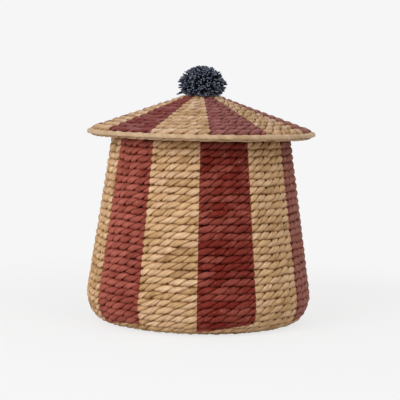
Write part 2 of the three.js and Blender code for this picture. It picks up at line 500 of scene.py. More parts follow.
@dataclass(frozen=True)
class Stripes:
    """Painted stripes that run up the weave, every other twelfth of the way round.

    Attributes:
        start: azimuth at which a painted stripe begins.
        floor: height under which the paint stops.
        deepest: azimuth at which the paint lies thickest and shows no painted sheen, there and
            half-way round.
        deep: the paint where it lies thick.
        dusty: the paint where it is laid thinly, paler also for a painted sheen.
        WORN: the paint on the right-hand side, greyed by a painted sheen.
        COUNT: how many painted stripes there are.
        RAGGED: how far their edges stray.
        SIDE: width over which a side fades out.
        FOOT: width over which the foot fades out.
    """

    start: float
    floor: float
    fresh: float = 0.26
    deep: tuple[float, ...] = linear(113, 36, 27)
    dusty: tuple[float, ...] = linear(169, 94, 81)
    WORN: ClassVar[tuple[float, ...]] = linear(155, 102, 91)
    COUNT: ClassVar[float] = 6.0
    RAGGED: ClassVar[float] = 0.0012
    SIDE: ClassVar[float] = 0.0005
    FOOT: ClassVar[float] = 0.001

    def laid(self, tree: FinishTree, place: Value, bare: Value) -> tuple[Value, Value]:
        """Lays the paint on the bare fibre.

        Args:
            tree: the material's tree.
            place: place in the object.
            bare: the bare fibre's colour.

        Returns:
            The colour, and how far the paint covers, from 0 to 1.
        """
        x, y, z = tree.parts(place)
        azimuth = tree.math("ARCTAN2", x, -y)
        radius = (x * x + y * y) ** 0.5
        ragged = tree.noise(place, 3.0, scale=190.0, detail=1.0) * self.RAGGED
        stripe = ((azimuth - self.start) * self.COUNT).sin() * radius / self.COUNT + ragged
        sides = (stripe / self.SIDE + 0.5).clamped()
        lowest = self.floor - (azimuth * 5.5).cos() * 0.005 + azimuth.sin() * 0.005
        foot = ((z - lowest + ragged * 2.0) / self.FOOT + 0.5).clamped()
        outside = 1.0 - tree.kept("depth").eased(0.6, 0.8)
        missed = tree.noise(place, 8.0, scale=380.0).eased(0.58, 0.62)
        cover = sides * foot * outside * (1.0 - missed)
        # Partly painted sheen: the paint grows paler a quarter turn from the deepest azimuth,
        # colour that stands in for the sheen seen there; the clouds and the leaves' tone are the
        # paint's own unevenness.
        thinned_and_sheened = (azimuth - self.fresh).sin() ** 2.0
        cloudy = tree.noise(place, 5.0, scale=38.0, detail=3.0) * 0.7
        paleness = (cloudy + (tree.kept("tone") - 0.5) * 0.75 + thinned_and_sheened * 0.8 + 0.18).clamped()
        paint = tree.blended(paleness, self.deep, self.dusty)
        # Painted reflection: the paint on the right-hand side is greyed, colour that stands in for
        # the sheen seen at that edge.
        paint = tree.blended(azimuth.sin().eased(0.7, 0.98), paint, self.WORN)
        return tree.blended(cover, bare, paint), cover


@dataclass(frozen=True)
class FibreFinish:
    """Dried rush, bare or with painted stripes.

    Attributes:
        name: the material's name.
        stripes: the paint on it, if any.
        shade: what its red, green and blue are multiplied by.
        reach: power of the painted shade in the grooves: under 1 it reaches further out of them.
        TONES: its colours, from its darkest leaves to its palest.
        SUNK: painted shade, what the colour is multiplied by deep in the weave.
        SUNK_PAINT: the same painted shade where the stripes' paint covers it.
        FINE: how fine its fibres are.
    """

    name: str
    stripes: Stripes | None = None
    shade: tuple[float, float, float] = (1.0, 1.0, 1.0)
    reach: float = 1.0
    TONES: ClassVar[Mapping[float, tuple[int, int, int]]] = {
        0.0: (164, 126, 88),
        0.25: (192, 154, 113),
        0.5: (208, 171, 130),
        0.72: (207, 171, 138),
        1.0: (226, 194, 154),
    }
    SUNK: ClassVar[tuple[float, ...]] = (0.5, 0.36, 0.21, 1.0)
    SUNK_PAINT: ClassVar[tuple[float, ...]] = (0.42, 0.16, 0.08, 1.0)
    FINE: ClassVar[float] = 55.0

    def streaks(self, tree: FinishTree, place: Value) -> Value:
        """Fine lines along the strand.

        Args:
            tree: the material's tree.
            place: place in the object.

        Returns:
            Noise centred on 0.
        """
        x, y, z = tree.parts(place)
        _, v = tree.along()
        around = v * TAU
        where = tree.vector(x * self.FINE, y * self.FINE, around.cos() * 5.5)
        return tree.noise(where, around.sin() * 5.5 + z * self.FINE, detail=2.0)

    def made(self) -> bpy.types.Material:
        """Makes the material.

        Returns:
            The material.
        """
        tree = FinishTree(self.name)
        place = tree.place()
        lines = self.streaks(tree, place)
        patches = tree.noise(place, 11.0, scale=70.0, detail=3.0)
        colour = tree.ramp(tree.kept("tone") + patches * 0.3 + lines * 0.2, self.TONES)
        cover = 0.0
        if self.stripes:
            colour, cover = self.stripes.laid(tree, place, colour)
        colour = tree.shaded(colour, 1.0 + lines * 0.7)
        colour = tree.blended(1.0, colour, (*self.shade, 1.0), "MULTIPLY")
        # Painted shade: deep in the grooves of the weave, where shade falls, the colour is
        # multiplied darker, and redder under the paint.
        sunk = tree.blended(cover, self.SUNK, self.SUNK_PAINT)
        colour = tree.blended(tree.kept("sunk") ** self.reach, colour, sunk, "MULTIPLY")
        feeds = {
            "Base Color": colour,
            "Roughness": 0.72 + lines * 0.15 - cover * 0.1,
            "Specular IOR Level": 0.1,
        }
        return tree.finish(lines * 0.5 + 0.5, 0.0005, feeds)


@dataclass(frozen=True)
class WrappingFinish:
    """Split rush wrapped round a border, paler and smoother than the courses.

    Attributes:
        name: the material's name.
        TONES: its colours, from its darkest wraps to its palest.
    """

    name: str
    TONES: ClassVar[Mapping[float, tuple[int, int, int]]] = {
        0.0: (168, 134, 98),
        0.35: (191, 158, 120),
        0.7: (205, 173, 137),
        1.0: (220, 191, 154),
    }

    def made(self) -> bpy.types.Material:
        """Makes the material.

        Returns:
            The material.
        """
        tree = FinishTree(self.name)
        u, v = tree.along()
        lines = tree.noise(tree.vector(u * 60.0, v * 900.0, 0.0), 2.0, detail=3.0)
        patches = tree.noise(tree.place(), 21.0, scale=60.0, detail=2.0)
        tone = tree.kept("tone") * 0.4 + 0.3 + patches * 0.4 + lines * 0.3
        # Painted shade: the colour is darker at the seams where the wraps meet; the streaks are the
        # grain.
        light = (1.0 + lines * 0.3) * (1.0 - tree.kept("seam") * 0.3)
        feeds = {
            "Base Color": tree.shaded(tree.ramp(tone, self.TONES), light),
            "Roughness": 0.66 + lines * 0.1,
            "Specular IOR Level": 0.4,
            "Sheen Weight": 0.1,
        }
        return tree.finish(lines * 0.5 + 0.5, 0.0002, feeds)


@dataclass(frozen=True)
class WireFinish:
    """Black-annealed iron wire.

    Attributes:
        name: the material's name.
        TONES: its colours, from its darkest spots to its palest.
    """

    name: str = "annealed wire"
    TONES: ClassVar[Mapping[float, tuple[int, int, int]]] = {0.0: (34, 31, 29), 1.0: (62, 54, 48)}

    def made(self) -> bpy.types.Material:
        """Makes the material.

        Returns:
            The material.
        """
        tree = FinishTree(self.name)
        scale = tree.noise(tree.place(), 4.0, scale=420.0, detail=3.0)
        feeds = {
            "Base Color": tree.ramp(scale + 0.5, self.TONES),
            "Metallic": 0.1,
            "Roughness": 0.85 + scale * 0.15,
            "Specular IOR Level": 0.15,
        }
        return tree.finish(scale * 0.5 + 0.5, 0.0001, feeds)


@dataclass(frozen=True)
class YarnFinish:
    """Slate-blue wool yarn, with painted shade where it comes out of the knot, deep in the pompom,
    and lighter towards its cut ends.

    Attributes:
        name: the material's name.
        shaded: length along the yarn up to which its painted shade is darkest.
        lit: length along the yarn from which it has its full colour.
        TONES: its colours, from its darkest ends to its palest.
        PLIES: threads twisted into it.
        LAY: how fast they twist, in radians a metre.
    """

    name: str
    shaded: float = -1.0
    lit: float = -0.5
    TONES: ClassVar[Mapping[float, tuple[int, int, int]]] = {
        0.0: (68, 74, 92),
        0.5: (107, 115, 136),
        1.0: (146, 156, 174),
    }
    PLIES: ClassVar[int] = 3
    LAY: ClassVar[float] = 2600.0

    def made(self) -> bpy.types.Material:
        """Makes the material.

        Returns:
            The material.
        """
        tree = FinishTree(self.name)
        u, v = tree.along()
        ply = (v * (self.PLIES * TAU) + u * self.LAY).sin()
        fuzz = tree.noise(tree.place(), 6.0, scale=900.0, detail=3.0)
        colour = tree.ramp(tree.kept("tone") * 0.8 + 0.1 + fuzz * 0.2, self.TONES)
        # Painted shade: the yarn is darker towards the knot, deep in the pompom, and a little
        # darker between its plies.
        light = (u.eased(self.shaded, self.lit) * 0.96 + 0.04) * (1.0 + ply * 0.14)
        feeds = {
            "Base Color": tree.shaded(colour, light),
            "Roughness": 0.95,
            "Specular IOR Level": 0.12,
            "Sheen Weight": 0.12,
            "Sheen Roughness": 0.5,
            "Sheen Tint": (0.75, 0.82, 1.0, 1.0),
        }
        return tree.finish(ply * 0.35 + fuzz * 0.3 + 0.5, 0.0004, feeds)


# Shape trees


class Ring:
    """A grid that a shape tree rolls into a tube round the axis.

    The tree has the inputs Sides, Radius, Height and Lean.

    Args:
        tree: the shape tree.
        spaces: how many spaces the grid has round the axis.
    """

    def __init__(self, tree: ShapeTree, spaces: Value) -> None:
        """Adds the grid and reads where its points lie, round the axis and round the tube."""
        self.tree = tree
        rows = tree.given("Sides") + 1.0
        feeds = {"Size X": 1.0, "Size Y": 1.0, "Vertices X": spaces + 1.0, "Vertices Y": rows}
        grid = tree.add("GeometryNodeMeshGrid", feeds)
        self.mesh = Value(tree, grid.outputs["Mesh"])
        self.u, self.v, _ = tree.parts(Value(tree, grid.outputs["UV Map"]))
        self.azimuth, self.around = (self.u - 0.5) * TAU, (self.v + 0.5) * TAU
        self.east, self.south = self.azimuth.sin(), self.azimuth.cos()

    def rolled(self, off: Value, along: Value, drop: Feed, kept: Mapping[str, Value]) -> Value:
        """Rolls the grid into its tube.

        Args:
            off: how far each point stands out in the way that the face leans.
            along: how far it lies up the face.
            drop: how far it is let down after that.
            kept: the attributes that the points keep.

        Returns:
            The tube, with its attributes and its UV map.
        """
        tree = self.tree
        lean = tree.given("Lean")
        radius = tree.given("Radius") + lean.cos() * off - lean.sin() * along
        height = tree.given("Height") + lean.sin() * off + lean.cos() * along - drop
        position = tree.vector(radius * self.east, -(radius * self.south), height)
        shape = tree.moved(self.mesh, position)
        for name, value in kept.items():
            shape = tree.store(shape, name, value)
        return tree.mapped(shape, self.u * TAU * tree.given("Radius"), self.v)


class TwinedTree:
    """The shape tree of one twined course: two strands that twist round the uprights.

    Attributes:
        PATCHES: patches of uneven weave for each upright.
        STRAY: how far the twist strays, in radians.
        CLIMB: how far the whole course strays up and down, as a share of its rise.
        REACH: how far a strand reaches up and down, as a share of the rise.
        PINCH: how far the strands are drawn in at the tips of a leaf.
        BACK: how much wider they are at the back.
    """

    INPUTS = {"Int": "Warps Steps Sides", "Float": "Radius Height Lean Rise Depth Boxed First Seed"}
    PATCHES = 0.12
    STRAY = 1.25
    CLIMB = 0.24
    REACH = 0.56
    PINCH = 0.42
    BACK = 0.12

    def __init__(self) -> None:
        """Writes the tree."""
        self.writer = ShapeTree("Twined course", self.INPUTS)
        strands = [self.strand(phase) for phase in (0.0, math.pi)]
        self.tree = self.writer.finish(self.writer.merged(self.writer.joined(strands)))

    def half(self, around: Value, crease: Value) -> tuple[Value, Value]:
        """The outline of one strand, half of the rounded box that the two of them share.

        Args:
            around: angle round the strand.
            crease: how far its creases let it stand out.

        Returns:
            How far each point lies on the strand's own side of the box, and how far across.
        """
        away = 0.47 + 0.53 * around.cos().boxed(0.75)
        beside = around.sin().boxed(0.8)
        size = self.writer.math("MAXIMUM", (away * away + beside * beside) ** 0.5, 1.0)
        return away / size * crease * 1.06, beside / size * crease * 0.93

    def strand(self, phase: float) -> Value:
        """One strand, as a tube swept round the axis.

        Args:
            phase: how far its twist is ahead.

        Returns:
            The tube.
        """
        tree = self.writer
        warps, seed = tree.given("Warps"), tree.given("Seed")
        ring = Ring(tree, warps * tree.given("Steps"))
        east, south, around = ring.east, ring.south, ring.around
        cells = warps * self.PATCHES
        slow = tree.vector(east * cells, south * cells, 0.0)
        stray = tree.noise(slow, seed) * self.STRAY
        twist = (ring.azimuth - tree.given("First")) * warps * 0.5 + phase + stray
        front, up = twist.cos(), twist.sin()
        near = tree.vector(east * cells * 1.4, south * cells * 1.4, front * 0.8)
        swell = tree.noise(near, seed + up * 0.8 + 40.0)
        squeeze = tree.noise(near, seed + up * 0.8 + 80.0)
        turn = (twist / TAU + 0.5).floor() * 2.0 - phase / math.pi
        pick = tree.chance(tree.vector(turn.wrapped(warps), 0.0, 0.0), seed)
        split = pick.eased(0.68, 0.72) * (around - (pick - 0.85) * 4.0).cos().size() ** 10.0
        wide = (around * 3.0 + swell * 9.0).sin()
        narrow = (around * 5.0 + squeeze * 12.0).sin()
        away, beside = self.half(around, 1.0 + 0.05 * wide + 0.03 * narrow - 0.16 * split)
        across, upward = away * front - beside * up, away * up + beside * front
        boxed = tree.given("Boxed")
        corner = (across * across + upward * upward) ** 0.5 / (
            (across.size() ** boxed + upward.size() ** boxed) ** (1.0 / boxed)
        )
        across, upward = across * corner, upward * corner
        # At a leaf's tips the strands are pulled tight, which leaves a small dark pit over the
        # upright. Only their outer halves are drawn in, and the back runs are pressed together,
        # so that no light comes through the pit
        tips = upward.size().eased(0.4, 0.85)
        pinched = (1.0 - away.eased(0.0, 0.65)) * tips * across.eased(-0.25, 0.3)
        upward = upward * (1.0 - pinched * self.PINCH + (-across).eased(0.0, 0.4) * self.BACK)
        rise, depth = tree.given("Rise"), tree.given("Depth")
        shared = tree.vector(east * cells, south * cells, tree.given("Height") * 30.0)
        climb = self.CLIMB * tree.noise(shared, 7.0) + 0.05 * tree.noise(slow, seed + 120.0)
        off = depth * 0.5 * across * (1.0 + squeeze * 0.14)
        along = rise * (climb + self.REACH * upward * (1.0 + swell * 0.25))
        kept = {
            "tone": pick * 0.75 + 0.125 + tree.noise(near, seed + 160.0) * 0.25,
            "depth": 0.5 - off / depth,
            # Where the painted shade goes: deep in the grooves between the strands and the rows.
            "sunk": self.sunk(away, across, upward, tips),
        }
        return ring.rolled(off, along, 0.0, kept)

    def sunk(self, away: Value, across: Value, upward: Value, tips: Value) -> Value:
        """How much painted shade each point takes, by how deep it lies in the grooves of the weave.

        Args:
            away: how far it lies on its strand's own side.
            across: how far out it lies, from -1 at the back to 1 at the front.
            upward: how far up it lies, from -1 to 1.
            tips: how near to a leaf's tip it is.

        Returns:
            0 to 1.
        """
        rows = self.writer.math(
            "MAXIMUM", upward.size().eased(0.72, 1.02), (-upward).eased(0.3, 1.0) * 0.7
        )
        groove = 1.0 - away.eased(0.03, 0.3 + tips * 0.3)
        edges = self.writer.math("MAXIMUM", groove * (0.3 + tips * 0.7), rows * 0.65)
        return self.writer.math("MAXIMUM", edges, 1.0 - across.size().eased(0.1, 0.55))


class SpunTree:
    """The shape tree of uprights that all follow one line, turned round the axis.

    It leaves out those where a wire stands, at regular steps.

    Attributes:
        SIDES: points round an upright.
        CROWDED: gauge at which they touch, times their number and over their radius.
        DEPTH: how deep in the weave they count as lying.
    """

    INPUTS = {"Int": "Copies Every", "Float": "Gauge Seed"}
    SIDES = 6
    CROWDED = 2.4
    DEPTH = 0.62

    def __init__(self) -> None:
        """Writes the tree."""
        tree = ShapeTree("Spun uprights", self.INPUTS)
        copies, seed = tree.given("Copies"), tree.given("Seed")
        line = tree.out("GeometryNodeMeshToCurve", {0: tree.given("Geometry")})
        place = tree.out("GeometryNodeInputPosition")
        x, y, _ = tree.parts(place)
        room = (x * x + y * y) ** 0.5 * self.CROWDED / copies
        wander = tree.noise(place, seed, scale=60.0)
        gauge = tree.math("MINIMUM", tree.given("Gauge"), room) * (1.0 + wander * 0.3)
        strand = tree.tube(line, gauge, self.SIDES)
        marks = tree.out("GeometryNodeMeshLine", {"Count": copies, "Offset": (0.0, 0.0, 0.0)})
        number = tree.out("GeometryNodeInputIndex")
        kept = {
            "turn": number * TAU / copies,
            "tone": tree.chance(tree.vector(number, 0.0, 0.0), seed),
            "depth": self.DEPTH,
            # The uprights lie deep in the weave and take the full painted shade.
            "sunk": 1.0,
        }
        for name, value in kept.items():
            marks = tree.store(marks, name, value)
        feeds = {0: number.wrapped(tree.given("Every")), 1: 0.5}
        is_wire = tree.out("FunctionNodeCompare", feeds, operation="LESS_THAN")
        feeds = {"Geometry": marks, "Selection": is_wire}
        marks = tree.out("GeometryNodeDeleteGeometry", feeds)
        turn = tree.vector(0.0, 0.0, tree.read("turn"))
        feeds = {"Points": marks, "Instance": strand, "Rotation": turn}
        self.tree = tree.finish(tree.out("GeometryNodeInstanceOnPoints", feeds))


class WrappedTree:
    """The shape tree of a border: a bundle with a flat strand wrapped round and round it.

    Its width and rise count from its middle, and its shear lets it down for each unit out.
    """

    INPUTS = {
        "Int": "Wraps Steps Sides Waves",
        "Float": "Radius Height Lean Width Rise Shear Relief Seed",
    }

    def __init__(self) -> None:
        """Writes the tree."""
        tree = ShapeTree("Wrapped border", self.INPUTS)
        wraps, seed = tree.given("Wraps"), tree.given("Seed")
        ring = Ring(tree, wraps * tree.given("Steps"))
        east, south, around, v = ring.east, ring.south, ring.around, ring.v
        slow = tree.vector(east * wraps * 0.11, south * wraps * 0.11, 0.0)
        slant = v + 0.13 * ((v - 0.5) * TAU).sin()
        turn = ring.u * wraps + slant + tree.noise(slow, seed) * 0.35
        seam = (turn.wrapped(1.0) * 2.0 - 1.0).size() ** 4.0
        pick = tree.chance(tree.vector(turn.floor().wrapped(wraps), 1.0, 0.0), seed)
        relief = tree.given("Relief")
        uneven = tree.noise(slow, seed + 9.0) * relief * 1.5
        swell = (1.0 - seam) * relief + (pick - 0.5) * relief + uneven
        top = around.sin().eased(0.2, 0.9)
        wave = (ring.azimuth * tree.given("Waves")).sin() * top * relief * 1.4
        off = around.cos().boxed(0.8) * (tree.given("Width") + swell)
        along = around.sin().boxed(0.8) * (tree.given("Rise") + swell) + wave
        kept = {"tone": pick, "seam": seam.eased(0.35, 1.0)}
        shape = ring.rolled(off, along, off * tree.given("Shear"), kept)
        self.tree = tree.finish(tree.merged(shape))


class TuftTree:
    """The shape tree of a pompom: yarn ends that stand out of a ball and lie down on a cone.

    Attributes:
        SPLAY: how far an end leans away from the ball's own direction.
        BEND: how far it bends over at its tip, as a share of its reach.
        HEART: radius of the solid heart, as a multiple of the core's.
        LAID: how thick the ends lie on the cone.
        SIDES: points round an end.
        JOINTS: points along it.
    """

    INPUTS = {"Int": "Seed", "Float": "Centre Core Reach Spacing Gauge Loose Top Slope"}
    SPLAY = 0.6
    BEND = 0.65
    HEART = 1.12
    LAID = 0.002
    SIDES = 5
    JOINTS = 6

    def __init__(self) -> None:
        """Writes the tree."""
        self.writer = tree = ShapeTree("Yarn pompom", self.INPUTS)
        core, reach, seed = tree.given("Core"), tree.given("Reach"), tree.given("Seed")
        ball = tree.out("GeometryNodeMeshIcoSphere", {"Radius": core, "Subdivisions": 5})
        spread = {"Mesh": ball, "Distance Min": tree.given("Spacing")}
        spread |= {"Density Max": 1.2e6, "Seed": seed}
        ends = tree.add("GeometryNodeDistributePointsOnFaces", spread, distribute_method="POISSON")
        marks = Value(tree, ends.outputs["Points"])
        number = tree.out("GeometryNodeInputIndex")
        spin = [
            tree.chance(tree.vector(number, float(place), 0.0), seed) - 0.5 for place in range(6)
        ]
        east, north, top = tree.parts(Value(tree, ends.outputs["Normal"]))
        aim = tree.vector(
            east + spin[0] * self.SPLAY, north + spin[1] * self.SPLAY, top + spin[2] * self.SPLAY
        )
        is_loose = tree.math("LESS_THAN", spin[5] + 0.5, tree.given("Loose"))
        low = (-top).eased(0.0, 0.55)
        long = tree.math("MAXIMUM", is_loose, (-north).eased(0.4, 1.0))
        trim = 1.0 - 0.2 * top.eased(0.0, 1.0) - low * (0.5 - 1.1 * long)
        kept = {"bend_east": spin[3], "bend_north": spin[4], "tone": spin[0] + 0.5}
        for name, value in kept.items():
            marks = tree.store(marks, name, value)
        feeds = {
            "Points": marks,
            "Instance": self.end(),
            "Rotation": tree.out("FunctionNodeAlignRotationToVector", {"Vector": aim}, axis="Z"),
            "Scale": tree.vector(1.0, 1.0, trim + spin[2] * 0.12),
        }
        tufts = tree.out("GeometryNodeInstanceOnPoints", feeds)
        tufts = tree.out("GeometryNodeRealizeInstances", {0: tufts})
        sway = tree.read("along") / reach
        sway = sway * sway * reach * self.BEND
        x, y, z = tree.parts(tree.out("GeometryNodeInputPosition"))
        x, y = x + tree.read("bend_east") * sway, y + tree.read("bend_north") * sway
        z = z + tree.given("Centre")
        carpet = tree.given("Top") - (x * x + y * y) ** 0.5 * tree.given("Slope")
        above = tree.math("MAXIMUM", z, carpet + tree.read("tone") * self.LAID)
        tufts = tree.moved(tufts, tree.vector(x, y, above))
        self.tree = tree.finish(tree.joined([tufts, self.heart()]))

    def end(self) -> Value:
        """One straight yarn end.

        Returns:
            Its tube, which stands on the origin.
        """
        tree = self.writer
        stretch = {"Start": (0.0, 0.0, 0.0), "End": tree.vector(0.0, 0.0, tree.given("Reach"))}
        line = tree.out("GeometryNodeCurvePrimitiveLine", stretch)
        line = tree.out("GeometryNodeResampleCurve", {"Curve": line, "Count": self.JOINTS})
        return tree.tube(line, tree.given("Gauge"), self.SIDES)

    def heart(self) -> Value:
        """The middle that the ends stand on, flat underneath: it has no length along the yarn, so
        it takes the darkest painted shade.

        Returns:
            Its mesh, in its place.
        """
        tree = self.writer
        feeds = {"Radius": tree.given("Core") * self.HEART, "Subdivisions": 4}
        ball = tree.out("GeometryNodeMeshIcoSphere", feeds)
        x, y, z = tree.parts(tree.out("GeometryNodeInputPosition"))
        flat = tree.math("MAXIMUM", z, 0.0) + tree.given("Centre")
        return tree.moved(ball, tree.vector(x, y, flat))


class CordTree:
    """The shape tree of a laid cord: plies that twist round a line.

    Attributes:
        PLIES: how many plies it has.
        SIDES: points round a ply.
        SHARE: radius of a ply, as a share of the cord's.
        STEP: distance between points along the line.
    """

    INPUTS = {"Float": "Gauge Lay"}
    PLIES = 3
    SIDES = 8
    SHARE = 0.52
    STEP = 0.0004

    def __init__(self) -> None:
        """Writes the tree."""
        tree = ShapeTree("Laid cord", self.INPUTS)
        line = tree.out("GeometryNodeMeshToCurve", {0: tree.given("Geometry")})
        feeds = {"Curve": line, "Length": self.STEP}
        line = tree.out("GeometryNodeResampleCurve", feeds, mode="LENGTH")
        plies = [self.ply(tree, line, number) for number in range(self.PLIES)]
        self.tree = tree.finish(tree.joined(plies))

    def ply(self, tree: ShapeTree, line: Value, number: int) -> Value:
        """One ply.

        Args:
            tree: the shape tree.
            line: the cord's middle line.
            number: which ply it is.

        Returns:
            The ply as a tube.
        """
        gauge = tree.given("Gauge")
        angle = tree.walked() / tree.given("Lay") * TAU + TAU * number / self.PLIES
        normal, tangent = tree.out("GeometryNodeInputNormal"), tree.out("GeometryNodeInputTangent")
        kind = "ShaderNodeVectorMath"
        side = tree.out(kind, {0: tangent, 1: normal}, operation="CROSS_PRODUCT")
        first, second = (
            tree.out(kind, {0: way, 3: share * gauge * self.SHARE}, operation="SCALE")
            for way, share in ((normal, angle.cos()), (side, angle.sin()))
        )
        shift = tree.out(kind, {0: first, 1: second})
        ply = tree.out("GeometryNodeSetPosition", {"Geometry": line, "Offset": shift})
        tube = tree.tube(ply, gauge * self.SHARE, self.SIDES)
        return tree.store(tube, "tone", 0.3 + 0.2 * number)


# Sub-assemblies


@dataclass(frozen=True)
class Course:
    """Where one twined course lies, in the upright plane through the axis.

    Attributes:
        radius: distance of its middle from the axis.
        height: height of its middle.
        lean: the way that it faces.
        rise: its length along the face.
        warps: uprights that its strands twist round.
        depth: its thickness.
        boxed: how square its cross-section is, from 2 for an ellipse up.
    """

    radius: float
    height: float
    lean: float
    rise: float
    warps: int
    depth: float
    boxed: float


@dataclass
class Workshop:
    """What every sub-assembly is made with: the shape trees and the weave's sizes.

    Attributes:
        depth: thickness of the weave, front run to back run.
        uprights: uprights all the way round.
        gauge: radius of a fibre upright.
        hub: radius at which the innermost uprights start.
        wires: how many of the uprights are wire.
        steps: points along a strand between two uprights.
        sides: points round a strand.
        border_sides: points round a border.
        zones: inner radius of each zone, from the outside in, and how many uprights stand in it.
    """

    depth: float = 0.0136
    uprights: int = 54
    gauge: float = 0.0028
    hub: float = 0.006
    wires: int = 9
    steps: int = 8
    sides: int = 12
    border_sides: int = 28
    zones: tuple[tuple[float, int], ...] = ((0.13, 54), (0.085, 36), (0.05, 27), (0.0, 18))

    def __post_init__(self) -> None:
        """Writes the shape trees and sets the azimuth of the first upright."""
        self.twined = TwinedTree().tree
        self.spun = SpunTree().tree
        self.wrapped = WrappedTree().tree
        self.tufted = TuftTree().tree
        self.laid = CordTree().tree
        self.first = math.pi / self.uprights

    def warps_at(self, radius: float) -> int:
        """How many uprights stand at a radius, where the inner ones have run together."""
        return next(count for inner, count in self.zones if radius > inner)

    def zone_lines(
        self, end: float, place: Callable[[float], Vector]
    ) -> list[tuple[int, list[Vector]]]:
        """The lines that the uprights follow across the zones.

        Args:
            end: radius at which the outermost ones end.
            place: gives the radius and height of a point of them from its radius.

        Returns:
            For each zone, its number of uprights and their line.
        """
        edges = [end] + [max(inner, self.hub) for inner, _ in self.zones]
        spans = zip(edges, edges[1:], self.zones)
        return [(count, [place(low), place(high)]) for high, low, (_, count) in spans]

    def courses(self, face: Sequence[Vector], boxed: float = 2.4) -> list[Course]:
        """The courses between the edges that lie along a face.

        Args:
            face: points on the outside face, each a radius and a height.
            boxed: how square their cross-section is, from 2 for an ellipse up.

        Returns:
            One course between each two points.
        """
        found = []
        for low, high in zip(face, face[1:]):
            along = (high - low).normalized()
            out = Vector((along.y, -along.x))
            middle = (low + high) / 2 - out * self.depth / 2
            warps, rise = self.warps_at(middle.x), (high - low).length
            lean = math.atan2(out.y, out.x)
            found.append(Course(middle.x, middle.y, lean, rise, warps, self.depth, boxed))
        return found

    def twine(
        self, name: str, courses: Sequence[Course], finish: bpy.types.Material, seed: int
    ) -> bpy.types.Object:
        """Makes one piece of one or more twined courses.

        Args:
            name: the piece's name.
            courses: the courses.
            finish: their material.
            seed: where the irregularity starts.

        Returns:
            The piece.
        """
        made = []
        for number, course in enumerate(courses):
            sizes = {field.capitalize(): size for field, size in asdict(course).items()}
            sizes |= {"Steps": self.steps, "Sides": self.sides, "First": self.first}
            sizes |= {"Seed": float(seed * 7 + number), "Material": finish}
            made.append(grown(mesh_of(f"{name}_{number}"), self.twined, sizes))
        return one_piece(name, made)

    def stand(
        self, name: str, lines: Sequence[tuple[int, Sequence[Vector]]], finish: bpy.types.Material
    ) -> bpy.types.Object:
        """Makes the fibre uprights, which leave out the places of the wires.

        Args:
            name: the piece's name.
            lines: for each zone, its number of uprights and the line that they follow.
            finish: their material.

        Returns:
            The piece.
        """
        made = []
        for number, (copies, line) in enumerate(lines):
            points = [(p.x * math.sin(self.first), -p.x * math.cos(self.first), p.y) for p in line]
            sizes = {
                "Copies": copies,
                "Every": copies // self.wires,
                "Gauge": self.gauge,
                "Seed": float(number),
                "Material": finish,
            }
            made.append(grown(mesh_of(f"{name}_{number}", points), self.spun, sizes))
        return one_piece(name, made)

    def wrap(self, name: str, finish: str, sizes: Mapping[str, float]) -> bpy.types.Object:
        """Makes one wrapped border.

        Args:
            name: the piece's name.
            finish: its material's name.
            sizes: the inputs of its shape tree, but for its sides and its material.

        Returns:
            The piece.
        """
        material = WrappingFinish(finish).made()
        ready = {**sizes, "Sides": self.border_sides, "Material": material}
        return grown(mesh_of(name), self.wrapped, ready)


def along_line(ends: tuple[Vector, Vector], steps: int) -> list[Vector]:
    """Points spaced evenly from one end to the other, one more than the steps."""
    return [ends[0].lerp(ends[1], i / steps) for i in range(steps + 1)]


